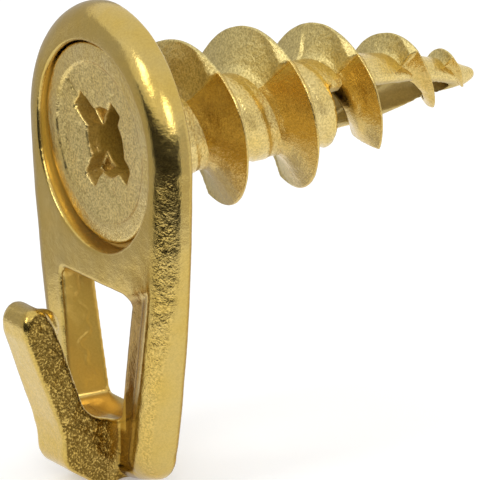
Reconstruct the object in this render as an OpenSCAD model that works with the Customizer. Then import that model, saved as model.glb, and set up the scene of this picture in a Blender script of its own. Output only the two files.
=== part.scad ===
// Drywall picture hook: a cast hook plate that turns on the head of a hollow self-drilling anchor.
// Millimetres. X is to the right seen from the front, +Y goes into the wall, +Z is up.
// The origin is on the anchor's axis, in the plane of the plate's flat front face.

/* [Plate] */
// Radius of the round top of the plate
top_r = 9.95; // [8:0.05:13]
// Thickness of the plate, front to back
plate_t = 2.4; // [2:0.1:4]
// Radius of the soft front edge
edge_r = 2.1; // [1.2:0.1:2.2]
// Radius of the slightly bowed long sides
side_bow_r = 100; // [80:5:200]
// Lowest point of the plate below the axis
foot_z = 24.5; // [23:0.05:30]
// Radius of the shallow bottom arc
foot_bow_r = 16; // [14:1:22]
// Radius of the two bottom corners
corner_r = 2.8; // [2.4:0.1:3.2]

/* [Anchor seat] */
// Diameter of the anchor's head
head_d = 14.44; // [13:0.02:15.4]
// Thickness of the head
head_t = 0.95; // [0.7:0.05:1.2]
// How far the head's face lies behind the plate's face
head_sink = 0.62; // [0.4:0.02:0.8]
// Radial gap round the head
head_gap = 0.28; // [0.1:0.02:0.4]
// Gap under the head
seat_gap = 0.04; // [0.02:0.01:0.1]
// Gap round the largest thread in the plate's through hole
pass_gap = 0.2; // [0.1:0.05:0.3]

/* [Window and side channels] */
// Upper edge of the window below the axis
win_top_z = 10.1; // [9.7:0.1:10.8]
// Half width of the window at its upper edge
win_top_half = 4.27; // [3.6:0.02:4.5]
// Half width of the window at the floor of the hook
win_low_half = 2.2; // [2.15:0.01:2.4]
// Half width over both channels at the window's upper edge
chan_top_half = 6.05; // [5.4:0.05:6.3]
// Inward lean of a channel's outer border
chan_lean = 12.4; // [10:0.1:14]
// Depth of a channel
chan_depth = 0.48; // [0.3:0.02:0.7]

/* [Hook arm] */
// Width of the arm at its root
arm_root_w = 4.2; // [3.6:0.05:4.4]
// Width of the arm at its tip
arm_tip_w = 3.45; // [2.8:0.05:4]
// How far the arm's tip stands out from the plate
arm_out = 6.7; // [5.5:0.05:9]
// Height of the arm's tip below the axis
arm_tip_z = 10.75; // [10.2:0.05:13]
// Radius of the rounded tip
arm_tip_r = 1.1; // [0.9:0.05:1.3]
// Floor of the hook below the axis
floor_z = 19.6; // [18.8:0.1:20]
// Radius of the bend inside the hook
bend_r = 2.1; // [1.6:0.05:2.4]
// Thickness of the foot of the arm
arm_foot_t = 3.95; // [3.6:0.05:4.5]

/* [Anchor] */
// Distance from the plate's face to the anchor's tip
anchor_len = 32.2; // [30:0.1:36]
// Outer radius of the hollow shank
shank_r = 3.2; // [3:0.05:3.6]
// Radius of the bore for the screw
bore_r = 2.2; // [1.8:0.05:2.4]
// Largest radius of the thread
thread_r = 6.3; // [5.5:0.05:6.4]
// Distance from turn to turn
pitch = 5.944; // [5.4:0.01:6.4]
// Half thickness of a turn at its crest
crest_half = 0.16; // [0.12:0.01:0.3]
// Growth of a turn's half thickness towards its root
flank = 0.38; // [0.3:0.01:0.5]
// Extra half thickness of a turn at the two mould parting lines
parting_swell = 0.2; // [0:0.02:0.4]
// Where the shank begins to taper
taper_y = 20.5; // [19:0.5:22]
// Width of a wing of the cross recess
wing_w = 1.35; // [1.1:0.05:1.6]
// Tip-to-tip span of the cross recess
wing_span = 7.4; // [6.4:0.1:8]
// Depth of the cross recess below the head's face
wing_depth = 1.75; // [1.4:0.05:2.2]
// Depth of the shallow dish in the head's face
dish_depth = 0.15; // [0.1:0.01:0.25]
// How far the neck under the head stands out from the shank
neck_step = 1.1; // [0.6:0.05:1.4]
// Length of the neck before it narrows
neck_len = 1.05; // [0.8:0.05:1.2]
// Length over which the neck narrows to the shank
neck_taper = 1.6; // [1.2:0.1:2.2]
// Where the crest first passes the top
first_y = 7.455; // [7:0.005:8]
// Where the turns begin to get lower
low_y = 13; // [12:0.1:15]
// Where the last turn ends short of the tip
turn_end_gap = 1.35; // [1:0.05:2]
// Where the bore ends short of the tip
bore_end_gap = 1.2; // [0.8:0.05:2]
// Length of the blunt end of the tip
tip_len = 0.5; // [0.3:0.05:0.8]
// Where the open trough begins
trough_y = 18.3; // [17:0.1:20]
// Height above the axis at which the shank is cut open
trough_h = 0.8; // [0.4:0.05:1.2]
// Where the slanting underside of the last turns begins
slant_y = 19.4; // [18.5:0.1:20.5]
// How far the slanting underside begins below the axis
slant_z = 3.65; // [3.3:0.05:4.5]

/* [Hidden] */
$fn = 96;
head_r = head_d / 2;
seat_r = head_r + head_gap;                       // counterbore
seat_depth = head_sink + head_t + seat_gap;       // plane of the ledge the head bears on
pass_r = thread_r + pass_gap;                     // hole the thread passes through
tangent_a = -2;                                   // where the round top runs into the long side
// centres of the arcs of the plate's outline, right-hand side
side_c = -(side_bow_r - top_r) * [cos(tangent_a), sin(tangent_a)];
foot_c = [0, -foot_z + foot_bow_r];
// the lower point where two circles meet: a corner's centre lies inside the side arc and the bottom arc
function meet(c1, r1, c2, r2) =
    let (d = norm(c2 - c1), a = (r1 * r1 - r2 * r2 + d * d) / (2 * d),
         h = sqrt(r1 * r1 - a * a), u = (c2 - c1) / d)
    c1 + a * u + h * [u[1], -u[0]];
corner_c = meet(side_c, side_bow_r - corner_r, foot_c, foot_bow_r - corner_r);
side_end_a = atan2(corner_c[1] - side_c[1], corner_c[0] - side_c[0]);
foot_end_a = atan2(corner_c[1] - foot_c[1], corner_c[0] - foot_c[0]);
plate_gold = [0.72, 0.62, 0.36];
anchor_gold = [0.70, 0.63, 0.42];
parting_a = 40;                                   // mould parting plane, clockwise from the top
turn_step = 10;
over = 1;                                         // how far a cutter runs past a face
reach = 2 * thread_r + 4;                         // wider than the thread all round

// ---------- helpers ----------

// plans are drawn in X and Z, and extruded towards +Y from y0 to y1
module slab(y0, y1) {
    translate([0, y1, 0]) rotate([90, 0, 0]) linear_extrude(y1 - y0) children();
}

// an upright solid of revolution laid over, so that its own +Z points into the wall
module into_wall() {
    rotate([-90, 0, 0]) children();
}

// a flat disc of radius r about centre c, with the plate's soft front edge and its broken rear edge
module rim_disc(c, r) {
    translate([c[0], 0, c[1]]) into_wall() rotate_extrude() difference() {
        square([r, plate_t]);
        difference() {
            translate([r - edge_r + 0.012, -1]) square([edge_r + 1, edge_r + 0.988]);
            translate([r - edge_r + 0.012, edge_r - 0.012]) circle(edge_r);
        }
        polygon([[r + 0.1, plate_t - 0.25], [r + 0.1, plate_t + 0.1], [r - 0.25, plate_t + 0.1],
                 [r - 0.25, plate_t], [r, plate_t - 0.25]]);
    }
}

// points round a corner with centre c and radius r, from angle a0 to a1
function corner(c, r, a0, a1) =
    [for (k = [0 : 6]) let (t = a0 + (a1 - a0) * k / 6) c + r * [cos(t), sin(t)]];

// a right-hand outline and its mirror image, as one closed outline
function both(p) = concat(p, [for (k = [len(p) - 1 : -1 : 0]) [-p[k][0], p[k][1]]]);

// ---------- hook ----------

module plate_blank() {
    mid_a = (side_end_a + foot_end_a) / 2;
    join = 0.02;
    rim_disc([0, 0], top_r);
    for (m = [0, 1]) mirror([m, 0, 0])
        rim_disc(corner_c + join * [cos(mid_a), sin(mid_a)], corner_r);
    intersection() {
        rim_disc(side_c - [0.03, 0], side_bow_r);
        mirror([1, 0, 0]) rim_disc(side_c - [0.03, 0], side_bow_r);
        rim_disc(foot_c, foot_bow_r);
        // below the round top, and inside both bottom corners
        slab(-1, plate_t + 1) {
            polygon(both([[20, top_r * sin(tangent_a)], corner_c + 16 * [cos(side_end_a), sin(side_end_a)],
                          corner_c, corner_c + 6 * [cos(foot_end_a), sin(foot_end_a)]]));
        }
    }
}

// a channel beside the window, with the shallow inner bevel of the rail along its border
module channel() {
    ramp = 25;
    intersection() {
        translate([chan_top_half, 0, -win_top_z]) rotate([0, chan_lean, 0]) rotate([180, 0, 0])
            translate([0, 0, -2]) linear_extrude(14.3)
                polygon([[1.2, 0.6], [1.2, 0], [0, -0.3], [0, -0.38], [-1.85, -chan_depth],
                         [-1.95, -chan_depth - 0.01], [-1.95, 0.6]]);
        translate([-20, 0, -win_top_z + 1.05]) rotate([-ramp, 0, 0]) translate([0, -20, -30])
            cube([40, 40, 30]);
    }
}

module window_plan() {
    c = 0.5;
    low = -floor_z - 3;
    slope = (win_top_half - win_low_half) / (floor_z - win_top_z);
    w_low = win_low_half - 3 * slope;
    right = concat(corner([win_top_half - c - 0.05, -win_top_z - c], c, 90, -12), [[w_low, low]]);
    polygon(both(right));
}

module window_cut() {
    intersection() {
        slab(-1, plate_t + 1) window_plan();
        // the floor of the opening rises a little towards the back
        translate([-10, 0.5, -floor_z - 0.2]) rotate([19, 0, 0]) translate([0, -5, 0]) cube([20, 12, 20]);
    }
}

// side view of the arm: Y to the left of the drawing is out from the plate
module arm_side() {
    tip_c = [-arm_out + arm_tip_r, -arm_tip_z - arm_tip_r];
    bend_c = [-0.21 * bend_r, -floor_z + 0.2 + bend_r];
    foot_c = [-arm_foot_t + 1.6, -floor_z - 2.1];
    polygon(concat(
        corner(tip_c, arm_tip_r, 188, 100), corner(tip_c, arm_tip_r, 85, 15),
        [tip_c + [1.62, -1.15]],
        corner(bend_c, bend_r, 197, 255),
        [[0.5, -floor_z - 0.2], [1.1, -floor_z - 0.35], [1.1, -foot_z + 0.3], [-0.2, -foot_z + 0.05],
         [-1.42, -foot_z + 0.22]],
        corner(foot_c, 1.6, 236, 182),
        [[-arm_foot_t - 0.04, -floor_z - 1.0], [-arm_foot_t - 0.33, -floor_z + 0.2],
         tip_c + [-0.62, -2.05], tip_c + [-1.0, -0.95]]));
}

// front view of the arm: narrower towards its rounded tip
module arm_front() {
    rt = arm_tip_w / 2;
    rr = arm_root_w / 2;
    c = 1.0;
    right = concat(corner([rt - c, -arm_tip_z + 0.02 - c], c, 90, 2),
                   [[rr, -floor_z + 0.6], [rr - 0.25, -foot_z + 1.2], [rr - 0.5, -foot_z - 1]]);
    polygon(both(right));
}

module arm() {
    intersection() {
        union() {
            translate([-5, 0, 0]) rotate([90, 0, 90]) linear_extrude(10) arm_side();
            // the round swelling on the back of the tip
            translate([0.1, -arm_out + arm_tip_r + 1.27, -arm_tip_z - 1.85]) sphere(1.2);
        }
        slab(-arm_out - 1, 1.2) arm_front();
    }
}

module hook() {
    color(plate_gold) difference() {
        union() {
            difference() {
                plate_blank();
                channel();
                mirror([1, 0, 0]) channel();
                window_cut();
            }
            arm();
        }
        into_wall() {
            translate([0, 0, -over]) cylinder(h = seat_depth + over, r = seat_r);
            translate([0, 0, -over]) cylinder(h = plate_t + 2 * over, r = pass_r);
            translate([0, 0, -0.05]) cylinder(h = 0.2, r1 = seat_r + 0.2, r2 = seat_r);
        }
    }
}

// ---------- anchor ----------

// piecewise straight profile: p is a list of [y, value]
function along(p, y) =
    y <= p[0][0] ? p[0][1] :
    y >= p[len(p) - 1][0] ? p[len(p) - 1][1] :
    let (i = max([for (k = [0 : len(p) - 2]) if (p[k][0] <= y) k]))
    p[i][1] + (p[i + 1][1] - p[i][1]) * (y - p[i][0]) / (p[i + 1][0] - p[i][0]);

tip_gap = anchor_len - taper_y;
shank_line = [[0, shank_r], [taper_y, shank_r], [taper_y + 0.69 * tip_gap, shank_r * 0.64],
              [anchor_len - tip_len, shank_r * 0.36]];
bore_line = [[0, bore_r], [taper_y, bore_r], [taper_y + 0.69 * tip_gap, bore_r * 0.52],
             [anchor_len - bore_end_gap, bore_r * 0.22]];
low_gap = anchor_len - low_y;
crest_line = [[0, thread_r], [low_y, thread_r], [low_y + 0.1875 * low_gap, thread_r * 0.95],
              [low_y + 0.3333 * low_gap, thread_r * 0.89], [low_y + 0.6458 * low_gap, thread_r * 0.60],
              [low_y + 0.8906 * low_gap, thread_r * 0.35], [low_y + 0.9792 * low_gap, thread_r * 0.2]];
first_a = -183;                                   // the thread starts below the axis
run_in_a = 70;                                    // and rises to its full height over this angle
turn_steps = round(((anchor_len - turn_end_gap - first_y) * 360 / pitch - first_a) / turn_step);

function turn_y(a) = first_y + pitch * a / 360;
function crest_at(a) =
    let (y = turn_y(a), run_in = min(1, (a - first_a) / run_in_a + 0.114),
         low = 1 - 0.045 * max(0, -cos(a)))
    shank_r * 0.95 + (along(crest_line, y) * low - shank_r * 0.95) * run_in;
function turn_ring(a) =
    let (y = turn_y(a), rc = max(crest_at(a), along(shank_line, y) + 0.12), ri = along(bore_line, y) + 0.22,
         size = min(1, 0.35 + 0.65 * (rc - along(shank_line, y)) / 3),
         ch = crest_half * size,
         swell = parting_swell * size * (1 - abs(sin(a - parting_a))),
         hc = ch + swell, hr = ch + swell * 0.6 + (rc - ri) * flank)
    [for (q = [[ri, -hr], [rc - 0.1 * size, -hc - 0.04], [rc, -hc * 0.55], [rc, hc * 0.55],
               [rc - 0.1 * size, hc + 0.04], [ri, hr]])
        [q[0] * sin(a), y + q[1], q[0] * cos(a)]];

module thread() {
    n = turn_steps;
    m = 6;
    pts = [for (i = [0 : n]) each turn_ring(first_a + i * turn_step)];
    walls = [for (i = [0 : n - 1], j = [0 : m - 1])
        let (k = (j + 1) % m) each [
            [i * m + j, (i + 1) * m + k, (i + 1) * m + j],
            [i * m + j, i * m + k, (i + 1) * m + k]]];
    caps = [[for (j = [m - 1 : -1 : 0]) j], [for (j = [0 : m - 1]) n * m + j]];
    polyhedron(points = pts, faces = concat(walls, caps));
}

module shank() {
    y0 = head_sink + head_t;
    difference() {
        union() {
            into_wall() {
                translate([0, 0, y0 - 0.1]) cylinder(h = taper_y - y0 + 0.1, r = shank_r);
                translate([0, 0, taper_y]) cylinder(h = 0.69 * tip_gap, r1 = shank_r, r2 = shank_r * 0.64);
                translate([0, 0, taper_y + 0.69 * tip_gap])
                    cylinder(h = 0.31 * tip_gap - tip_len, r1 = shank_r * 0.64, r2 = shank_r * 0.36);
                translate([0, 0, anchor_len - tip_len])
                    cylinder(h = tip_len, r1 = shank_r * 0.36, r2 = shank_r * 0.2);
            }
        }
        // the near lower side is open from here to the tip
        rotate([0, 90 + parting_a, 0]) translate([-reach / 2, trough_y, trough_h])
            cube([reach, anchor_len, reach]);
    }
}

module anchor_head() {
    into_wall() {
        translate([0, 0, head_sink]) difference() {
            cylinder(h = head_t, r = head_r);
            translate([0, 0, -over]) cylinder(h = over + dish_depth, r = head_r * 0.81);
        }
        translate([0, 0, head_sink + head_t / 2])
            cylinder(h = head_t / 2 + neck_len, r = shank_r + neck_step);
        translate([0, 0, head_sink + head_t + neck_len])
            cylinder(h = neck_taper, r1 = shank_r + neck_step, r2 = shank_r);
    }
}

module cross_recess() {
    for (a = [31, 121]) rotate([0, a, 0])
        translate([-wing_span / 2, head_sink - over, -wing_w / 2])
            cube([wing_span, wing_depth + over, wing_w]);
}

module bore() {
    into_wall() {
        translate([0, 0, -over]) cylinder(h = taper_y + over, r = bore_r);
        translate([0, 0, taper_y]) cylinder(h = 0.69 * tip_gap, r1 = bore_r, r2 = bore_r * 0.52);
        translate([0, 0, taper_y + 0.69 * tip_gap])
            cylinder(h = 0.31 * tip_gap - bore_end_gap, r1 = bore_r * 0.52, r2 = bore_r * 0.22);
    }
}

module anchor() {
    color(anchor_gold) difference() {
        union() {
            shank();
            anchor_head();
            thread();
        }
        bore();
        cross_recess();
        // the turns near the tip end at a slanting underside
        translate([-reach / 2, slant_y, -slant_z]) rotate([15.6, 0, 0]) translate([0, 0, -reach])
            cube([reach, anchor_len, reach]);
    }
}

hook();
anchor();
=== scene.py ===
import bpy
import math
import numpy as np
from mathutils import Matrix, Vector


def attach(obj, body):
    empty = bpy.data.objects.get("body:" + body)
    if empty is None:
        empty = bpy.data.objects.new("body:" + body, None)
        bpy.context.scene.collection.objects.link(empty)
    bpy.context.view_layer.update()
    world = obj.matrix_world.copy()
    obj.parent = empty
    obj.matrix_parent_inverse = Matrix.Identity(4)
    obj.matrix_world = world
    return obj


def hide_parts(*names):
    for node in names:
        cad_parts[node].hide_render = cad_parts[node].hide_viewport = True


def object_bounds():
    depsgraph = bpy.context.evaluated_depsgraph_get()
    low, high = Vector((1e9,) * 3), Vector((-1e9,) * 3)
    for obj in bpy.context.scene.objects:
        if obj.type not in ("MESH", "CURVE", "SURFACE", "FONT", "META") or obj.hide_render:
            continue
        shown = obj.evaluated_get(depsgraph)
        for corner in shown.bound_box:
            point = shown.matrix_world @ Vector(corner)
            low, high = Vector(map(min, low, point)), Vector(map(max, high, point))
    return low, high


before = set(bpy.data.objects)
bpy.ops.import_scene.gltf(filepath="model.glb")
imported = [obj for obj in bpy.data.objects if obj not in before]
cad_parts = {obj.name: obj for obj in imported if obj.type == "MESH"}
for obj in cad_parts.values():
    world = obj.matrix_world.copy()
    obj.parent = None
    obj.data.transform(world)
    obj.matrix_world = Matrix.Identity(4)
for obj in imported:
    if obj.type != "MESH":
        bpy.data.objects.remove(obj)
cad_lo, cad_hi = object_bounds()

# Shapes are drawn in millimetres on the frame's own axes, and piece() turns them into metres:
# x runs to the right along the wall, y along the anchor into the wall, z up. The plate's face is
# at y 0, and the anchor's axis is x 0, z 0. Studio sizes, further down, are in metres.
MM = 0.001


# ---------- node helpers ----------

def blank(tree):
    """A node tree without what Blender puts in it."""
    for n in list(tree.nodes):
        tree.nodes.remove(n)
    return tree


def new_material(name):
    m = bpy.data.materials.new(name)
    m.use_nodes = True
    return m, blank(m.node_tree)


def feed(nt, socket, value):
    """Link a socket to another one, or set it to a constant."""
    if hasattr(value, "is_linked"):
        nt.links.new(value, socket)
    else:
        socket.default_value = value


def add(nt, kind, **kw):
    """A new node. in_Name= feeds the input called Name, and the rest are the node's settings."""
    n = nt.nodes.new(kind)
    for k, v in kw.items():
        if k.startswith("in_"):
            feed(nt, n.inputs[k[3:].replace("_", " ")], v)
        else:
            setattr(n, k, v)
    return n


def noise(nt, coord, scale, detail, rough):
    n = add(nt, "ShaderNodeTexNoise", in_Vector=coord, in_Scale=scale, in_Detail=detail, in_Roughness=rough)
    return n.outputs["Fac"]


def colour_ramp(nt, fac, stops):
    r = add(nt, "ShaderNodeValToRGB", in_Fac=fac)
    el = r.color_ramp.elements
    while len(el) > 1:
        el.remove(el[-1])
    el[0].position, el[0].color = stops[0]
    for place, colour in stops[1:]:
        el.new(place).color = colour
    return r.outputs["Color"]


def mix_rgb(nt, fac, a, b, mode="MIX"):
    m = add(nt, "ShaderNodeMix", data_type="RGBA", blend_type=mode)
    for k, v in ((0, fac), (6, a), (7, b)):
        feed(nt, m.inputs[k], v)
    return m.outputs[2]


def math_node(nt, op, a, b):
    m = add(nt, "ShaderNodeMath", operation=op)
    feed(nt, m.inputs[0], a)
    feed(nt, m.inputs[1], b)
    return m.outputs[0]


def scaled(nt, value, k, offset=0.0):
    return math_node(nt, "ADD", math_node(nt, "MULTIPLY", value, k), offset)


def bump(nt, height, strength, distance, below=None):
    b = add(nt, "ShaderNodeBump", in_Height=height, in_Strength=strength, in_Distance=distance)
    if below is not None:
        nt.links.new(below, b.inputs["Normal"])
    return b.outputs[0]


# ---------- the plated castings ----------

# What every vertex says to its material, from 0 to 1: how coarse the skin is, where amber shade is painted,
# where the skin is dark and where dark shade is painted, where faces only see each other and their light and
# shade are painted, and where it is matt and painted paler as if lit.
MASKS = ("rough_cast", "painted_amber_shade", "dark_cast", "inner", "frost_and_painted_light")
# noise scales, per metre
BIG_GRAIN, MID_GRAIN, FINE_GRAIN = 330.0, 2100.0, 6500.0
# the pale tone of the frosted skin, which also paints light on the flights' upper lobes and in the trough
PALE_FROST_AND_LIGHT = (0.60, 0.495, 0.21, 1)
# the dark skin's colour, also painted as shade on the ledge and along the rail's back line
DARK_SKIN_AND_SHADE = (0.17, 0.105, 0.022, 1)
# what the warm tone keeps where amber shade is painted
AMBER_SHADE_SHARE = (0.80, 0.66, 0.35)
PIT_SHARE = (0.6, 0.55, 0.45)
# what the fine grain multiplies the colour by, from its dark specks to its bright ones, which are painted
# sparkle
GRAIN_AND_SPARKLE = [(0.34, (0.70, 0.64, 0.48, 1)), (0.48, (1.0, 1.0, 0.98, 1)), (0.58, (1.42, 1.42, 1.42, 1))]


def darker(colour, share):
    return (*(c * s for c, s in zip(colour, share)), 1)


def metal(name, base, warm, dull, hollow_light_colour, rough, grain):
    """Satin plating on a casting: grain at three sizes, stronger where the casting is rough."""
    m, nt = new_material(name)
    out = add(nt, "ShaderNodeOutputMaterial")
    bsdf = add(nt, "ShaderNodeBsdfPrincipled")
    nt.links.new(bsdf.outputs[0], out.inputs[0])
    place = add(nt, "ShaderNodeTexCoord").outputs["Object"]
    cast, painted_amber_shade, dark, inner, frost_and_painted_light = (
        add(nt, "ShaderNodeAttribute", attribute_name=mask).outputs["Fac"] for mask in MASKS)
    big = noise(nt, place, BIG_GRAIN, 3.0, 0.55)
    mid = noise(nt, place, MID_GRAIN, 3.0, 0.6)
    fine = noise(nt, place, FINE_GRAIN, 2.0, 0.6)

    # the plating's tone, with painted amber shade in recesses and on the flights' near flanks, and paler
    # where it is frosted, which is partly painted light
    tone = colour_ramp(nt, big, [(0.35, (*warm, 1)), (0.55, (*base, 1)), (0.75, (*dull, 1))])
    tone = mix_rgb(nt, scaled(nt, painted_amber_shade, 0.85), tone, darker(warm, AMBER_SHADE_SHARE))
    tone = mix_rgb(nt, scaled(nt, frost_and_painted_light, 0.9), tone, PALE_FROST_AND_LIGHT)
    # pits, the dark skin and the painted shade with painted glints in them, painted light and shade where
    # faces only see each other, and grain with painted sparkle
    pit = colour_ramp(nt, mid, [(0.30, (1, 1, 1, 1)), (0.40, (0, 0, 0, 1))])
    pit = math_node(nt, "MULTIPLY", pit, scaled(nt, cast, 0.5, 0.03))
    colour = mix_rgb(nt, pit, tone, darker(dull, PIT_SHARE))
    # painted highlights: bright specks that stand in for glints in the dark skin and the painted shade
    painted_glint = colour_ramp(nt, fine, [(0.52, (1, 1, 1, 1)), (0.66, (0.25, 0.25, 0.25, 1))])
    colour = mix_rgb(nt, math_node(nt, "MULTIPLY", scaled(nt, dark, 0.93), painted_glint), colour, DARK_SKIN_AND_SHADE)
    # painted light and shade where faces only see each other: the colour goes to dark shade in the anchor's
    # bore and recess, and to orange bounced light in the hook's seat and window
    shade = math_node(nt, "MULTIPLY", scaled(nt, inner, 0.9), scaled(nt, frost_and_painted_light, -1.0, 1.0))
    colour = mix_rgb(nt, shade, colour, (*hollow_light_colour, 1))
    # the fine grain's specks, whose bright ones are painted sparkle
    grain_and_sparkle = mix_rgb(nt, 1.0, colour, colour_ramp(nt, fine, GRAIN_AND_SPARKLE), "MULTIPLY")
    colour = mix_rgb(nt, scaled(nt, cast, 0.9, 0.05), colour, grain_and_sparkle)
    nt.links.new(colour, bsdf.inputs["Base Color"])
    nt.links.new(scaled(nt, inner, -0.8, 1.0), bsdf.inputs["Metallic"])

    dulled = math_node(nt, "ADD", scaled(nt, mid, 0.14, rough - 0.07), scaled(nt, cast, 0.03))
    nt.links.new(math_node(nt, "ADD", dulled, scaled(nt, frost_and_painted_light, 0.20)), bsdf.inputs["Roughness"])
    relief = bump(nt, big, 0.5, 0.16 * MM)
    relief = bump(nt, mid, scaled(nt, cast, 0.85, 0.06 * grain), 0.10 * MM, relief)
    relief = bump(nt, fine, scaled(nt, cast, 0.75, 0.25 * grain), 0.035 * MM, relief)
    nt.links.new(relief, bsdf.inputs["Normal"])
    return m


# the hollows' colour: painted orange bounced light on the hook, painted dark shade in the anchor
hook_mat = metal("hook_metal_look", base=(0.57, 0.415, 0.125), warm=(0.57, 0.40, 0.10),
                 dull=(0.54, 0.405, 0.14), hollow_light_colour=(0.70, 0.43, 0.06), rough=0.20, grain=0.8)
anchor_mat = metal("anchor_metal_look", base=(0.66, 0.51, 0.20), warm=(0.66, 0.49, 0.16),
                   dull=(0.62, 0.49, 0.21), hollow_light_colour=(0.30, 0.17, 0.012), rough=0.22, grain=1.1)
for node, mat in (("hook", hook_mat), ("anchor", anchor_mat)):
    cad_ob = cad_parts[node]
    cad_ob.data.materials.clear()
    cad_ob.data.materials.append(mat)


# ---------- shape tools: distances on a grid, negative inside, meshed by surface nets ----------

CORNERS = [(i, j, k) for i in (0, 1) for j in (0, 1) for k in (0, 1)]


def smin(a, b, k):
    """The smaller of two distances, blended over k."""
    h = np.clip(0.5 + 0.5 * (b - a) / k, 0.0, 1.0)
    return b + (a - b) * h - k * h * (1.0 - h)


def smax(a, b, k):
    return -smin(-a, -b, k)


def ease(x, a, b):
    """0 below a, 1 above b, and a soft step between."""
    t = np.clip((x - a) / (b - a), 0.0, 1.0)
    return t * t * (3.0 - 2.0 * t)


def grid(lo, hi, step):
    ax = [np.arange(a, b + step, step, dtype=np.float32) for a, b in zip(lo, hi)]
    return ax, np.meshgrid(*ax, indexing="ij", sparse=True)


def net_points(F, ax, cells):
    """One point in each of the cells, at the mean of where F crosses zero on the cell's edges."""
    total = np.zeros((len(cells), 3))
    count = np.zeros(len(cells))
    for a in CORNERS:
        for d in range(3):
            if a[d]:
                continue
            b = list(a)
            b[d] = 1
            fa = F[cells[:, 0] + a[0], cells[:, 1] + a[1], cells[:, 2] + a[2]]
            fb = F[cells[:, 0] + b[0], cells[:, 1] + b[1], cells[:, 2] + b[2]]
            m = (fa < 0) != (fb < 0)
            p = np.tile(np.array(a, float), (m.sum(), 1))
            p[:, d] = fa[m] / (fa[m] - fb[m])
            total[m] += p
            count[m] += 1
    start = np.array([a[0] for a in ax])
    step = np.array([a[1] - a[0] for a in ax])
    return start + (cells + total / count[:, None]) * step


def surface(F, ax):
    """Vertices and quads of the surface where F is zero."""
    solid = F < 0
    n = F.shape
    filled = np.zeros(tuple(k - 1 for k in n), np.uint8)
    for i, j, k in CORNERS:
        filled += solid[i:n[0] - 1 + i, j:n[1] - 1 + j, k:n[2] - 1 + k]
    active = (filled > 0) & (filled < len(CORNERS))
    cells = np.argwhere(active)
    number = np.full(active.shape, -1, np.int64)
    number[active] = np.arange(len(cells))
    quads = []
    for d in range(3):
        e, f = (d + 1) % 3, (d + 2) % 3
        low, high = [slice(None)] * 3, [slice(None)] * 3
        low[d], high[d] = slice(0, n[d] - 1), slice(1, n[d])
        here, there = solid[tuple(low)], solid[tuple(high)]
        for leaving in (True, False):
            q = np.argwhere(here & ~there if leaving else ~here & there)
            q = q[(q[:, e] > 0) & (q[:, f] > 0) & (q[:, e] < n[e] - 1) & (q[:, f] < n[f] - 1)]
            ring = []
            for de, df in ((1, 1), (0, 1), (0, 0), (1, 0)):
                r = q.copy()
                r[:, e] -= de
                r[:, f] -= df
                ring.append(number[r[:, 0], r[:, 1], r[:, 2]])
            ring = np.stack(ring, 1)
            quads.append(ring if leaving else ring[:, ::-1])
    return net_points(F, ax, cells), np.concatenate(quads)


LATTICE, LATTICE_SHIFT = 32, 400.0


def lattice(p, size, seed):
    """Smooth noise from -1 to 1 at the points p, with blobs of about size."""
    rng = np.random.default_rng(seed)
    table = rng.random((LATTICE, LATTICE, LATTICE)) * 2.0 - 1.0
    q = p / size + LATTICE_SHIFT
    i = np.floor(q).astype(int)
    t = q - i
    t = t * t * (3.0 - 2.0 * t)
    out = np.zeros(len(p))
    for corner in CORNERS:
        share = np.ones(len(p))
        for d in range(3):
            share = share * (t[:, d] if corner[d] else 1 - t[:, d])
        at = (i + corner) % LATTICE
        out += share * table[at[:, 0], at[:, 1], at[:, 2]]
    return out


def vertex_normals(v, q):
    n = np.zeros_like(v)
    a, b, c, d = (v[q[:, k]] for k in range(4))
    face = np.cross(c - a, d - b)
    for k in range(4):
        np.add.at(n, q[:, k], face)
    length = np.linalg.norm(n, axis=1)
    length[length == 0] = 1.0
    return n / length[:, None]


def relax(v, q, rounds, amount):
    """A light smoothing that takes the grid's stepping out of a surface."""
    for _ in range(rounds):
        s = np.zeros_like(v)
        c = np.zeros(len(v))
        for k in range(4):
            a, b = q[:, k], q[:, (k + 1) % 4]
            np.add.at(s, a, v[b])
            np.add.at(s, b, v[a])
            np.add.at(c, a, 1)
            np.add.at(c, b, 1)
        v = v + amount * (s / c[:, None] - v)
    return v


def outline_distance(px, pz, pts):
    """Signed distance from grid points to a closed outline of points, negative inside."""
    start = np.array(pts, float)
    best = np.full(np.broadcast(px, pz).shape, 1e9)
    inside = np.zeros(best.shape, bool)
    for (ax, az), (bx, bz) in zip(start, np.roll(start, -1, axis=0)):
        dx, dz = bx - ax, bz - az
        t = np.clip(((px - ax) * dx + (pz - az) * dz) / (dx * dx + dz * dz), 0, 1)
        best = np.minimum(best, (px - ax - t * dx) ** 2 + (pz - az - t * dz) ** 2)
        if az != bz:
            cross = (az > pz) != (bz > pz)
            inside ^= cross & (px < dx * (pz - az) / dz + ax)
    return np.where(inside, -1.0, 1.0) * np.sqrt(best)


def arc_points(centre, radius, deg0, deg1, steps):
    turns = [math.radians(deg0 + (deg1 - deg0) * k / steps) for k in range(steps + 1)]
    return [(centre[0] + radius * math.cos(a), centre[1] + radius * math.sin(a)) for a in turns]


def piece(name, shape, mat, body, replaced=None):
    """One object from vertices in mm, quads and masks, riding on its body in the frame."""
    v, q, masks = shape
    me = bpy.data.meshes.new(name)
    me.from_pydata((v * MM).tolist(), [], q.tolist())
    me.materials.append(mat)
    me.polygons.foreach_set("use_smooth", [True] * len(me.polygons))
    for mask, value in masks.items():
        at = me.attributes.new(mask, "FLOAT", "POINT")
        at.data.foreach_set("value", np.asarray(value, np.float32))
    me.update()
    ob = bpy.data.objects.new(name, me)
    bpy.context.collection.objects.link(ob)
    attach(ob, body)
    if replaced:
        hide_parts(replaced)
    return ob


# ---------- the hook casting ----------

HOOK_STEP = 0.148
HOOK_LO, HOOK_HI = (-10.3, -7.1, -24.9), (10.3, 2.8, 10.3)

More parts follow.
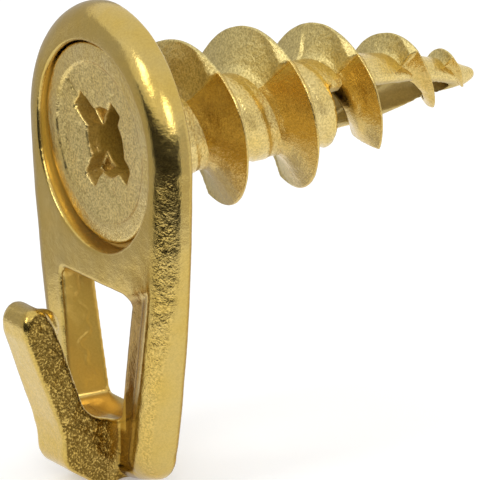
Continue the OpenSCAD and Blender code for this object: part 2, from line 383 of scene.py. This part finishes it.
# the plate: a round top, long arcs down its sides, an arc for its foot, and rounded corners
TOP_R, SIDE_R, SIDE_START = 9.95, 100.0, math.radians(-2.0)
FOOT_R, FOOT_Z, CORNER_R = 16.0, 24.5, 2.8
PLATE_T, EDGE_R, BACK_EDGE = 2.4, 2.1, 0.35
# the anchor's seat and hole; the plate hangs a little low in the head's clearance
SEAT_R, SEAT_D, PASS_R = 7.5, 1.61, 6.5
SEAT_X, SEAT_Z = 0.08, -0.15
# half widths are those at the window's top, and each taper is how much they grow per mm of height
WINDOW_TOP, WINDOW_HALF, WINDOW_TAPER = -10.1, 4.27, 0.2179
WINDOW_FLOOR, FLOOR_RISE = -19.8, 0.344
LEFT_HALF, LEFT_TAPER = 4.88, 0.03
LEDGE_HALF, LEDGE_TAPER, LEDGE_D, LEDGE_TOP, LEDGE_FOOT = 6.05, 0.2199, 0.44, -10.05, -22.9
CROWN_D, CROWN_W, CROWN_TOP, CROWN_FOOT = 0.34, 1.15, -9.0, -23.25
# the arm's outline from the side, as (y, z)
TIP, TIP_R = (-5.6, -11.85), 1.1
BEND, BEND_R = (-0.441, -17.3), 2.1
HEEL, HEEL_R = (-2.35, -21.7), 1.6
ARM_HALF, ARM_TOP, ARM_TAPER, HEEL_TOP, HEEL_TAPER = 1.74, -11.0, 0.045, -19.6, 0.075
SWELL, SWELL_R, SWELL_LONG = (0.15, -4.38, -12.5), 1.15, 0.86
# dents low on the right rail and at its outer corner: x, y, z, radius, depth
DENTS = ((6.1, 0.25, -23.1, 0.55, 0.16), (6.0, 0.9, -23.5, 0.35, 0.1),
         (7.0, 2.0, -21.6, 0.5, 0.12), (9.7, 1.5, -0.6, 0.5, 0.05))


def plate_outline(x, z):
    """Signed distance to the plate's outline, seen from the front."""
    half_x = np.abs(x)
    side = (-(SIDE_R - TOP_R) * math.cos(SIDE_START), -(SIDE_R - TOP_R) * math.sin(SIDE_START))
    foot = (0.0, -FOOT_Z + FOOT_R)
    # the corner's centre lies inside both arcs
    r1, r2 = SIDE_R - CORNER_R, FOOT_R - CORNER_R
    dx, dz = foot[0] - side[0], foot[1] - side[1]
    d = math.hypot(dx, dz)
    a = (r1 * r1 - r2 * r2 + d * d) / (2 * d)
    h = math.sqrt(r1 * r1 - a * a)
    cx, cz = side[0] + a * dx / d + h * dz / d, side[1] + a * dz / d - h * dx / d
    d_side = np.hypot(half_x - side[0], z - side[1]) - SIDE_R
    d_foot = np.hypot(half_x - foot[0], z - foot[1]) - FOOT_R
    low = np.maximum(d_side, d_foot)
    qx, qz = half_x - cx, z - cz
    turn = np.degrees(np.arctan2(qz, qx))
    turn_side = math.degrees(math.atan2(cz - side[1], cx - side[0]))
    turn_foot = math.degrees(math.atan2(cz - foot[1], cx - foot[0]))
    low = np.where((turn < turn_side) & (turn > turn_foot), np.hypot(qx, qz) - CORNER_R, low)
    return np.where(z > math.tan(SIDE_START) * half_x, np.hypot(half_x, z) - TOP_R, low)


def plate_body(x, y, z):
    """The plate with its soft front edge, sunk ledge, window, seat and through hole."""
    half_x = np.abs(x)
    up = z - WINDOW_TOP
    outline = plate_outline(x, z)
    past_ledge = (half_x - LEDGE_HALF - up * LEDGE_TAPER) * 0.977
    ledge_ramp = (z - LEDGE_TOP - np.maximum(half_x - 4.4, 0) * 0.40) * 0.7

    # beside the ledge the face falls away a little, and comes back at the ledge's two ends
    crown = CROWN_D * np.clip(1 - np.maximum(past_ledge, 0) / CROWN_W, 0, 1) ** 1.3
    for limit in ((CROWN_TOP - z) * 0.55, (z - CROWN_FOOT) * 1.1, -ledge_ramp):
        crown = np.minimum(crown, np.maximum(limit, 0))
    crown = np.where(x > 0, crown, 0.0)
    a = outline + EDGE_R
    b = EDGE_R - y + crown
    front = np.minimum(np.maximum(a, b), 0) + np.hypot(np.maximum(a, 0), np.maximum(b, 0)) - EDGE_R
    body = smax(front, y - PLATE_T, BACK_EDGE)
    body = smax(body, outline, 0.05)

    # the sunk ledge on the window's right, which runs out in a ramp at its top and its foot
    floor_y = LEDGE_D + 0.03 * np.clip(-past_ledge, 0, 2.0)
    ledge = smax((y - floor_y) * 0.99, past_ledge, 0.10)
    ledge = smax(ledge, (y + ledge_ramp) * 0.82, 0.15)
    ledge = smax(ledge, (y - (z - LEDGE_FOOT) * 1.1) * 0.67, 0.2)
    ledge = np.maximum(ledge, 2.0 - x)
    body = smax(body, -ledge, 0.10)

    # the window: a straight right wall, one slanted left wall, and a floor that rises to the back
    window_x = WINDOW_HALF + up * WINDOW_TAPER
    left_x = LEFT_HALF + up * LEFT_TAPER
    left_x = left_x + (window_x - left_x) * np.clip(y / PLATE_T, 0, 1)
    walls = np.where(x > 0, (half_x - window_x) * 0.977, (half_x - left_x) * 0.9)
    floor = (WINDOW_FLOOR + FLOOR_RISE * (y - 0.5) - z) * 0.9455
    window = smax(smax(walls, up, 0.75), floor, 0.5)
    body = smax(body, -window, 0.2)

    seat = np.maximum(np.hypot(x - SEAT_X, z - SEAT_Z) - SEAT_R, y - SEAT_D)
    body = smax(body, -seat, 0.22)
    return smax(body, PASS_R - np.hypot(x, z), 0.12)


def arm_body(x, y, z):
    """The upturned arm, drawn from the side, with the small swelling behind its tip."""
    side = (arc_points(TIP, TIP_R, 188, 20, 16) + [(-3.98, -13.0)] + arc_points(BEND, BEND_R, 197, 255, 10) +
            [(0.5, -19.8), (1.1, -19.95), (1.1, -24.2), (-0.2, -24.42), (-1.42, -24.25)] +
            arc_points(HEEL, HEEL_R, 236, 182, 8) +
            [(-4.02, -20.6), (-4.3, -19.4), (-6.22, -13.9), (-6.62, -12.8)])
    half = ARM_HALF + (ARM_TOP - z) * ARM_TAPER
    half = np.where(z < HEEL_TOP, half - (HEEL_TOP - z) * HEEL_TAPER, half)
    # soft along the front, sharper along the back, rounder at the tip
    behind = (y + 5.05) * 0.94 + (z + 13.6) * 0.34
    edge = 0.14 + 0.28 * ease(-behind, -0.5, 0.9) + 0.40 * ease(z, -12.4, -11.2)
    arm = smax(outline_distance(y, z, side), np.abs(x) - half, edge)
    swell_z = (z - SWELL[2]) * SWELL_LONG
    swell = np.sqrt((x - SWELL[0]) ** 2 + (y - SWELL[1]) ** 2 + swell_z ** 2) - SWELL_R
    return smin(arm, swell, 0.35)


def hook_regions(v, n):
    """Where the hook's different skins and its painted light and shade are, as masks from 0 to 1."""
    X, Y, Z = v.T
    sideways = np.abs(n[:, 0])
    on_arm = ease(-Y, 0.1, 0.6)
    foot = ease(-Z, 19.8, 20.4) * ease(-np.abs(X), -2.2, -1.9) * ease(-Y, -1.1, -0.7)
    arm_side = np.maximum(on_arm, foot) * ease(sideways, 0.7, 0.92)
    # the rough band down the right rail slides inwards towards the foot
    low_down = ease(-Z, 8.0, 20.0)
    band = ease(n[:, 0], 0.22 - 0.2 * low_down, 0.42 - 0.2 * low_down)
    band = band * (1 - ease(n[:, 0], 0.80 - 0.25 * low_down, 0.97 - 0.25 * low_down))
    rail = ease(-Z, -3.0, 3.0) * ease(X, 4.5, 6.5) * band * (1 - 0.45 * low_down) * (1 - on_arm)
    rail = rail * ease(sideways - n[:, 1], 0.3, 0.7)
    # painted shade: the fine dark line round the back of the right rail
    back_shade_line = ease(Y, 2.08, 2.2) * ease(sideways + np.abs(n[:, 2]), 0.4, 0.6)
    back_shade_line = back_shade_line * ease(-Z, -4.0, 4.0) * ease(X, 4.0, 6.0)
    # painted amber shade on the seat's wall
    seat = ease(-np.hypot(X, Z), -7.75, -7.45) * ease(Y, 0.1, 0.4)
    # painted shade on the sunk ledge beside the window
    ledge = ease(6.5 - X - 0.21 * (WINDOW_TOP - Z), -0.05, 0.15) * ease(X, 0.5, 1.5)
    ledge = ledge * ease(WINDOW_TOP - Z, -0.6, 0.4) * ease(Y, 0.15, 0.35) * (1 - on_arm)
    # the window's left wall and floor, where bounced light is painted, and the part of the wall that holds
    # the cold line
    window = ease(Y, 0.15, 0.4) * ease(-np.abs(X), -5.1, -4.9) * (X < 3.0)
    window = window * ease(-Z, 9.9, 10.3) * ease(Z, -20.6, -20.2)
    left_wall = ease(n[:, 0], 0.6, 0.85) * ease(-X, 1.0, 1.6) * (1 - on_arm)
    left_wall = left_wall * ease(-Z, 10.4, 11.0) * ease(Z, -19.4, -18.6)
    return on_arm, arm_side, rail, back_shade_line, seat, ledge, window, left_wall


def build_hook():
    ax, (x, y, z) = grid(HOOK_LO, HOOK_HI, HOOK_STEP)
    body = smin(plate_body(x, y, z), arm_body(x, y, z), 0.22)
    v, q = surface(body.astype(np.float32), ax)
    v = relax(v, q, 2, 0.45)
    n = vertex_normals(v, q)
    X, Y, Z = v.T
    on_arm, arm_side, rail, back_shade_line, seat, ledge, window, left_wall = hook_regions(v, n)

    # waves in the surface, and coarser ones on the rail and the arm
    relief = 0.018 * lattice(v, 2.6, 11) + 0.008 * lattice(v, 0.9, 12)
    relief += rail * 0.026 * lattice(v * np.array([1.0, 1.0, 0.8]), 0.55, 13)
    relief += rail * 0.014 * lattice(v * np.array([1.0, 1.0, 0.55]), 0.33, 14)
    relief += arm_side * (0.05 * lattice(v, 0.8, 15) + 0.035 * lattice(v, 0.38, 16))
    relief += on_arm * 0.012 * lattice(v, 0.5, 17)
    for cx, cy, cz, radius, depth in DENTS:
        away = ((X - cx) ** 2 + (Y - cy) ** 2 + (Z - cz) ** 2) / radius ** 2
        relief -= depth * np.exp(-away * 1.6)
    # a wavy cold line in the window's left wall
    cold_line = 1.35 + 0.26 * np.sin(Z * 1.7 + 0.6) + 0.18 * np.sin(Z * 4.1)
    relief -= left_wall * 0.05 * np.exp(-((Y - cold_line) / 0.08) ** 2)

    # painted reflection: the seat's lower left wall is painted as if lit by light bounced between the gold
    # faces
    seat_painted_reflection = seat * ease(-X - 0.9 * Z, 0.0, 4.0)
    masks = {
        "rough_cast": np.clip(0.08 + 0.8 * rail + 0.95 * arm_side + 0.15 * on_arm, 0, 1),
        # painted amber shade in the seat, on the ledge and along the rail's back line
        "painted_amber_shade": np.clip(seat + ledge + back_shade_line, 0, 1),
        # the arm's sides have a dark skin; the ledge and the back line are painted darker as shade
        "dark_cast": np.clip(arm_side + 0.60 * ledge + 0.5 * back_shade_line, 0, 1),
        # painted light: bounced orange light on the seat's lower left and on the window's walls and floor
        "inner": np.clip(0.85 * seat_painted_reflection + 0.75 * window * (1 - 0.8 * ease(n[:, 2], 0.5, 0.9)), 0, 1),
    }
    return v + n * relief[:, None], q, masks


# ---------- the anchor casting ----------

TUBE_STEP = 0.142
TUBE_LO, TUBE_HI = (-7.6, 0.3, -7.6), (7.6, 32.5, 7.6)

# radii along the anchor, as (y, radius)
PITCH, FIRST_Y, LEN = 5.944, 7.455, 32.2
SHANK = ((0.0, 3.2), (20.5, 3.2), (25.4, 2.5), (27.7, 1.93), (30.2, 1.22), (31.2, 0.72), (32.2, 0.32))
BORE = ((0.0, 2.2), (20.5, 2.2), (25.4, 1.7), (28.57, 0.95), (30.6, 0.4))
CREST = ((0.0, 6.3), (13.0, 6.3), (16.6, 5.98), (19.4, 5.6), (25.4, 3.78), (30.1, 2.2), (31.8, 1.26))
BORE_END, MOUTH_R, MOUTH_D = 30.9, 2.46, 2.2
# the underside is cut away from here on, in a slant: heights of the open tube's edge, as (y, z)
CUT_Y, CUT_Z, CUT_RISE = 19.4, -3.65, 0.262
TUBE_CUT = ((CUT_Y, CUT_Z), (24.0, -2.5), (27.6, -1.25), (29.0, -0.95), (31.5, -0.66))
# the trough opens towards the near lower side; its bed is given along y, towards that side
OPEN_X, OPEN_Z, OPEN_FROM, OPEN_START, OPEN_LEAN = 0.766, -0.643, 0.8, 18.35, 0.12
BED = ((17.9, -9.0), (18.0, 0.65), (18.4, 0.45), (21.5, -0.35), (24.0, -0.9), (26.0, -1.3), (28.0, -2.0))
# the head, which sits a little out of square in the seat
HEAD_R, HEAD_FACE, HEAD_BACK, HEAD_TILT = 7.22, 0.60, 1.55, 0.040
DISC_R, DISC_FACE, DISC_DISH = 5.80, 0.75, 0.10
NECK_R, NECK_START, NECK_END = 4.3, 1.4, 4.3
# the cross recess's wings, a little uneven: angle from z towards x in degrees, half width, length
WINGS = ((-52.0, 0.92, 4.10), (34.0, 0.72, 3.45), (121.0, 0.77, 3.75), (214.0, 0.76, 4.02))
WING_D = 2.35
# scratches on the head's face: one end, the other end, depth
SCRATCHES = (((-4.35, 4.0), (-3.2, 2.75), 0.16), ((-0.6, -2.9), (2.0, -4.1), 0.13),
             ((-5.0, 0.2), (-4.75, -1.6), 0.10), ((2.2, -4.1), (3.3, -4.3), 0.07),
             ((-3.1, 0.6), (-3.0, -2.4), 0.06), ((1.6, 3.6), (2.3, 4.0), 0.10))


def along(table, at, column=1):
    """A value between the rows of a table that gives it at places in column 0."""
    return np.interp(at, [row[0] for row in table], [row[column] for row in table])


def tube_body(x, y, z, r):
    """The tube with its raised band between the turns, open towards the tip."""
    turn = (y - FIRST_Y) / PITCH - np.arctan2(x, z) / (2 * math.pi)
    from_turn = np.abs(turn - np.round(turn)) * PITCH
    band = 0.13 * ease(from_turn, 2.28, 2.42) * ease(y, 6.0, 7.5) * (1 - ease(y, 19.0, 21.0))
    tube = (r - along(SHANK, y) - band) * 0.985
    tube = smax(tube, y - (LEN - 0.12), 0.25)
    open_side = OPEN_X * x + OPEN_Z * z
    opening = np.maximum(OPEN_FROM - open_side, OPEN_START - OPEN_LEAN * z - y)
    tube = smax(tube, -opening, 0.1)
    return smax(tube, 1.25 - y, 0.1)


def head_body(y, z, r):
    """The round head with its raised rim and dished disc."""
    tilted_y = y + HEAD_TILT * z
    head = smax(r - HEAD_R, np.maximum(HEAD_FACE - tilted_y, y - HEAD_BACK), 0.16)
    dish = DISC_FACE + DISC_DISH * np.clip(5.8 - r, 0, 3.8)
    return smax(head, -np.maximum(r - DISC_R, (tilted_y - dish) * 0.995), 0.08)


def hollow(x, y, z, r):
    """The bore with its wider mouth, shallow where the trough starts and deeper towards the tip."""
    open_side = OPEN_X * x + OPEN_Z * z
    bore = np.maximum(r - along(BORE, y), y - BORE_END)
    bore = smax(bore, (along(BED, y) - open_side) * 0.9, 0.3)
    mouth_r = MOUTH_R - 0.18 * ease(y, 1.2, 2.2)
    return np.minimum(bore, np.maximum(np.hypot(x - 0.1, z) - mouth_r, y - MOUTH_D))


def recess_wing(x, y, z, angle, half, length):
    """One wing of the cross recess, a little narrower at its end and shorter further in."""
    ca, sa = math.cos(math.radians(angle)), math.sin(math.radians(angle))
    out = x * sa + z * ca
    across = np.abs(x * ca - z * sa)
    wing = np.maximum(across - (half - 0.05 * np.clip(out - 2.0, 0, 3)), out - (length - 0.30 * (y - 0.9)))
    return np.maximum(wing, np.maximum(-out, y - WING_D))


def build_tube():
    ax, (x, y, z) = grid(TUBE_LO, TUBE_HI, TUBE_STEP)
    r = np.hypot(x, z)
    neck = np.maximum(r - (NECK_R - 1.1 * ease(y, 2.5, 4.2)), np.maximum(NECK_START - y, y - NECK_END))
    body = smin(tube_body(x, y, z, r), neck, 0.3)
    body = smin(body, head_body(y, z, r), 0.15)
    body = smax(body, -hollow(x, y, z, r), 0.08)
    for angle, half, length in WINGS:
        body = smax(body, -recess_wing(x, y, z, angle, half, length), 0.06)
    # everything below the slanting underside goes, near the tip
    under = np.maximum((z - along(TUBE_CUT, y)) * 0.94, CUT_Y - y)
    body = smax(body, -under, 0.16)
    v, q = surface(body.astype(np.float32), ax)
    v = relax(v, q, 2, 0.45)
    # the open end is smoother
    v = v + (relax(v, q, 7, 0.5) - v) * ease(v[:, 1], 18.6, 19.6)[:, None]
    n = vertex_normals(v, q)
    X, Y, Z = v.T
    R = np.hypot(X, Z)
    face = ease(-n[:, 1], 0.7, 0.95) * (Y < 1.35) * (1 - ease(R, 5.6, 5.8))

    relief = 0.012 * lattice(v, 1.6, 21) + 0.007 * lattice(v, 0.6, 22)
    relief += face * (0.016 * lattice(v, 0.5, 23) + 0.012 * lattice(v, 0.3, 24))
    relief += np.exp(-((R - 3.0) / 0.9) ** 2) * (Y < 1.8) * 0.035 * lattice(v, 0.42, 25)
    for (x0, z0), (x1, z1), depth in SCRATCHES:
        t = ((X - x0) * (x1 - x0) + (Z - z0) * (z1 - z0)) / ((x1 - x0) ** 2 + (z1 - z0) ** 2)
        t = np.clip(t, 0, 1)
        away = np.hypot(X - x0 - t * (x1 - x0), Z - z0 - t * (z1 - z0))
        relief -= face * depth * np.exp(-(away / 0.13) ** 2)

    inside = ease(along(SHANK, Y) - R, 0.25, 0.6) * ease(Y, 0.9, 1.6)
    in_bore = ease(along(BORE, Y) - R, -0.25, 0.05) * ease(Y, 1.0, 2.0) * (1 - ease(Y, 17.0, 18.5))
    in_wings = (1 - ease(-n[:, 1], 0.5, 0.8)) * ease(-R, -4.6, -4.3) * ease(Y, 0.95, 1.15) * (Y < 2.7)
    trough = inside * ease(Y, 17.4, 18.2)
    masks = {
        "rough_cast": np.clip(face * 0.4 + 0.45 - 0.3 * trough, 0, 1),
        # painted amber shade inside the tube
        "painted_amber_shade": 0.5 * inside * (1 - trough),
        # painted shade in the bore and the recess's wings, and painted light in the trough
        "inner": np.maximum(np.maximum(in_bore, 0.85 * in_wings), 0.6 * trough),
        # the head's disc is frosted; the trough is also painted paler as if lit
        "frost_and_painted_light": 0.35 * face + 0.6 * trough,
    }
    return v + n * relief[:, None], q, masks


# ---------- the anchor's flights: one ring of points swept along the helix ----------

# degrees round the axis, from z towards x; at 0 the flight is at FIRST_Y
FIRST_DEG, END_DEG, STEP_DEG = -183.0, 1566.0, 1.5
HALF_RING = 20
PART_DEG = 40.0
# the last turn and a half, where the pitch closes up: degrees, y, crest radius
TIP_FROM = 1000
TIP_TURN = ((1000, 23.97, 4.15), (1067, 24.9, 4.0), (1100, 25.25, 4.2), (1120, 25.5, 4.27),
            (1135, 26.05, 3.65), (1150, 26.5, 3.1), (1180, 27.1, 2.5), (1220, 27.6, 2.15),
            (1260, 28.0, 1.95), (1340, 28.7, 1.75), (1400, 29.15, 2.0), (1427, 29.3, 2.13),
            (1480, 29.3, 2.5), (1500, 29.8, 2.05), (1530, 30.2, 1.4), (1566, 30.55, 0.95))


def crest_radius(deg, y0, shank):
    """The flight's outer radius: it grows out of the tube, tapers, and is cut straight low down."""
    a = np.radians(deg)
    crest = along(CREST, y0) * (1 - 0.045 * np.maximum(0, -np.cos(a)))
    crest = crest + (along(TIP_TURN, deg, 2) - crest) * np.clip((deg - 940) / 60, 0, 1)
    root = shank * 0.95
    rc = np.maximum(root + (crest - root) * np.clip((deg + 191) / 70, 0, 1), shank + 0.05)
    # the far parting line cuts the lower lobes straight
    off = np.radians((deg - (PART_DEG + 180.0) + 180.0) % 360.0 - 180.0)
    straight = np.where(deg > 800, 0.80, 0.92) * rc / np.maximum(np.cos(off), 0.3)
    rc = np.where(deg < TIP_FROM, np.maximum(np.minimum(rc, straight), shank + 0.05), rc)
    return rc * (1 + 0.006 * np.sin(a * 2.3) + 0.004 * np.sin(a * 5.1 + 1.0))


def flight_rings(deg):
    """The ring of points at each step: up one flank to the crest and back down the other."""
    a = np.radians(deg)
    y0 = FIRST_Y + PITCH * deg / 360.0
    y0 = np.where(deg > TIP_FROM, along(TIP_TURN, deg), y0)
    shank = along(SHANK, y0)
    rc = crest_radius(deg, y0, shank)
    size = np.clip(0.25 + 0.75 * (rc - shank) / 3.0, 0, 1)
    # across the open trough the turn runs in to a web
    facing = ease(np.sin(a - math.radians(PART_DEG)), 0.0, 0.35)
    web = ease(y0, 18.2, 19.0) * (1 - ease(y0, 25.5, 26.5)) * facing
    ri = (along(BORE, y0) + 0.12) * (1 - 0.2 * web)
    # the mould's halves part at PART_DEG and opposite; each fills what it could not draw past
    before = (PART_DEG - deg) % 180.0
    after = (deg - PART_DEG) % 180.0
    quarter = np.gradient(y0, deg) * 90.0
    y_before = y0 + quarter * before / 90.0
    y_after = y0 - quarter * after / 90.0
    notch = 0.078 * rc
    corner = quarter * 0.253 + 0.17 * size

    def drawn(reach):
        """How far along y the fill stands at a reach from the parting plane."""
        slope = np.maximum(quarter - corner, 0.0) / (rc - notch)
        outer = corner * (rc - reach) / notch
        return np.where(reach > rc - notch, outer, corner + slope * (rc - notch - reach))

    rings = []
    up = np.linspace(0, 1, HALF_RING)
    down = np.linspace(1, 0, HALF_RING)
    for near, ts in ((True, up), (False, down)):
        for t in ts:
            r = ri + (rc - ri) * (1 - (1 - t) ** 1.15)
            fillet = 0.30 * np.exp(-np.maximum(r - shank, 0) / 0.25) * size
            if near:
                y = y0 - 0.05 * size - np.where(deg > 700, 0.30, 0.40) * (rc - r) - fillet
                fill = y_before - 0.04 * size - drawn(r * np.cos(np.radians(before)))
                y = np.where(before < 90.0, np.minimum(y, fill), y)
            else:
                y = y0 + 0.06 * size + 0.17 * (rc - r) + fillet
                fill = y_after + 0.04 * size + drawn(r * np.cos(np.radians(after)))
                y = np.where((after < 90.0) & (deg < TIP_FROM), np.maximum(y, fill), y)
            rings.append(np.stack([r * np.sin(a), y, r * np.cos(a)], 1))
    rings = np.stack(rings, 1)
    # the slanting underside near the tip
    cut_z = CUT_Z + (rings[:, :, 1] - CUT_Y) * CUT_RISE
    below = (rings[:, :, 1] > CUT_Y) & (rings[:, :, 2] < cut_z)
    rings[:, :, 2] = np.where(below, cut_z, rings[:, :, 2])
    return rings


def build_flights():
    deg = np.arange(FIRST_DEG, END_DEG, STEP_DEG)
    ring = 2 * HALF_RING
    v = flight_rings(deg).reshape(-1, 3)
    i = np.arange(len(deg) - 1)[:, None] * ring
    j = np.arange(ring)[None, :]
    j2 = (j + 1) % ring
    q = np.stack([i + j, i + ring + j, i + ring + j2, i + j2], -1).reshape(-1, 4)
    n = vertex_normals(v, q)
    relief = 0.016 * lattice(v, 1.4, 31) + 0.012 * lattice(v, 0.5, 32)
    # the upper mould half left a frosted skin, painted paler as if lit from above; the near one has a
    # brighter, shinier skin, painted darker amber as a reflection of the plate, that dulls and pales low
    # down
    phase = (deg - PART_DEG + 0.5) % 360.0
    frost_and_painted_light = np.where(phase > 180.0, 1.0, 0.9 * ease(phase, 118.0, 150.0))
    frost_and_painted_light = np.repeat(frost_and_painted_light, ring)
    # painted amber reflection on the near flanks, and painted light with the frost on the upper lobes
    masks = {"rough_cast": 0.34 + 0.26 * frost_and_painted_light, "painted_amber_shade": 0.35 * (1 - frost_and_painted_light), "frost_and_painted_light": frost_and_painted_light}
    return v + n * relief[:, None], q, masks


piece("hook_cast", build_hook(), hook_mat, "hook", "hook")
piece("anchor_tube", build_tube(), anchor_mat, "anchor", "anchor")
piece("anchor_flights", build_flights(), anchor_mat, "anchor")


# ---------- studio: world, floor, cards, lamps and camera, in metres ----------

FLOOR_GAP, FLOOR_HALF = 0.00003, 2.0
FLOOR_GREY, FLOOR_SEEN = 0.84, 0.31
WORLD_LIGHT, WORLD_SEEN = 0.85, 1.0
WHITE = (1, 1, 1, 1)


def seen_by(nt):
    """1 where the camera looks, and where metal or glass shows the surround."""
    lp = add(nt, "ShaderNodeLightPath")
    a = math_node(nt, "MAXIMUM", lp.outputs["Is Camera Ray"], lp.outputs["Is Glossy Ray"])
    return math_node(nt, "MAXIMUM", a, lp.outputs["Is Transmission Ray"])


world = bpy.data.worlds.new("studio")
bpy.context.scene.world = world
world.use_nodes = True
wn = blank(world.node_tree)
lighting = add(wn, "ShaderNodeBackground", in_Color=WHITE, in_Strength=WORLD_LIGHT)
backdrop = add(wn, "ShaderNodeBackground", in_Color=WHITE, in_Strength=WORLD_SEEN)
choice = add(wn, "ShaderNodeMixShader")
wn.links.new(seen_by(wn), choice.inputs[0])
wn.links.new(lighting.outputs[0], choice.inputs[1])
wn.links.new(backdrop.outputs[0], choice.inputs[2])
wn.links.new(choice.outputs[0], add(wn, "ShaderNodeOutputWorld").inputs[0])

# a plain white floor just under the hook's lowest point: it keeps the object's shadow
floor_z = cad_lo[2] - FLOOR_GAP
square = [(-1, -1), (1, -1), (1, 1), (-1, 1)]
me = bpy.data.meshes.new("floor")
me.from_pydata([(x * FLOOR_HALF, y * FLOOR_HALF, floor_z) for x, y in square], [], [(0, 1, 2, 3)])
floor = bpy.data.objects.new("floor", me)
bpy.context.collection.objects.link(floor)
fm, fn = new_material("floor_white")
matt = add(fn, "ShaderNodeBsdfDiffuse", in_Color=(FLOOR_GREY, FLOOR_GREY, FLOOR_GREY, 1))
glow = add(fn, "ShaderNodeEmission", in_Color=WHITE, in_Strength=scaled(fn, seen_by(fn), FLOOR_SEEN))
both = add(fn, "ShaderNodeAddShader")
fn.links.new(matt.outputs[0], both.inputs[0])
fn.links.new(glow.outputs[0], both.inputs[1])
fn.links.new(both.outputs[0], add(fn, "ShaderNodeOutputMaterial").inputs[0])
me.materials.append(fm)

CARD_FACES, CARD_FOOT, CARD_Y = 24, 0.0002, 0.004


def card(name, deg0, deg1, radius, top, level, low_radius=None):
    """A curved studio card round the object, out of the picture, that the metal reflects."""
    pts, faces = [], []
    for k in range(CARD_FACES + 1):
        a = math.radians(deg0 + (deg1 - deg0) * k / CARD_FACES)
        for z, rad in ((floor_z + CARD_FOOT, low_radius or radius), (top, radius)):
            pts.append((rad * math.cos(a), CARD_Y + rad * math.sin(a), z))
    for k in range(CARD_FACES):
        faces.append((2 * k, 2 * k + 2, 2 * k + 3, 2 * k + 1))
    me = bpy.data.meshes.new(name)
    me.from_pydata(pts, [], faces)
    m, nt = new_material(name + "_card")
    em = add(nt, "ShaderNodeEmission", in_Color=(level, level * 0.97, level * 0.93, 1), in_Strength=1.0)
    nt.links.new(em.outputs[0], add(nt, "ShaderNodeOutputMaterial").inputs[0])
    me.materials.append(m)
    ob = bpy.data.objects.new(name, me)
    bpy.context.collection.objects.link(ob)
    ob.visible_camera = False
    ob.visible_diffuse = False
    ob.visible_shadow = False
    ob.visible_transmission = False


card("card_left", 146, 206, radius=0.046, top=0.030, level=0.54, low_radius=0.017)
card("card_mid", 206, 250, radius=0.046, top=0.030, level=0.56)
card("card_front", 252, 350, radius=0.044, top=0.010, level=0.03)
card("card_right", 353, 392, radius=0.052, top=0.020, level=0.72)


def lamp(name, at, to, size, power):
    light = bpy.data.lights.new(name, "AREA")
    light.energy = power
    light.size = size
    ob = bpy.data.objects.new(name, light)
    bpy.context.collection.objects.link(ob)
    ob.location = at
    ob.rotation_euler = (Vector(to) - Vector(at)).to_track_quat("-Z", "Y").to_euler()


middle = (0.0, 0.010, -0.007)
lamp("key", (0.02, -0.26, 0.20), middle, size=0.10, power=0.17)
lamp("side", (0.28, -0.15, 0.17), middle, size=0.11, power=0.19)

# the photo's viewpoint: angles in degrees, azimuth from the front towards the right side
AZIMUTH, ELEVATION, ROLL = 58.6387551, 16.9689886, -1.2690894
DISTANCE, LENS, SENSOR = 0.4386412, 462.5, 36.0
LOOK_AT = (0.0, 0.0120217, -0.0091043)

cam = bpy.data.cameras.new("camera")
cam.lens = LENS
cam.sensor_width = SENSOR
cam.sensor_height = SENSOR
cam.clip_start = 0.01
cam_ob = bpy.data.objects.new("camera", cam)
bpy.context.collection.objects.link(cam_ob)
pose = Matrix.Translation(LOOK_AT)
for degrees, axis in ((AZIMUTH, "Z"), (90 - ELEVATION, "X"), (ROLL, "Z")):
    pose = pose @ Matrix.Rotation(math.radians(degrees), 4, axis)
cam_ob.matrix_world = pose @ Matrix.Translation((0, 0, DISTANCE))
bpy.context.scene.camera = cam_ob
bpy.context.scene.view_settings.view_transform = "Standard"
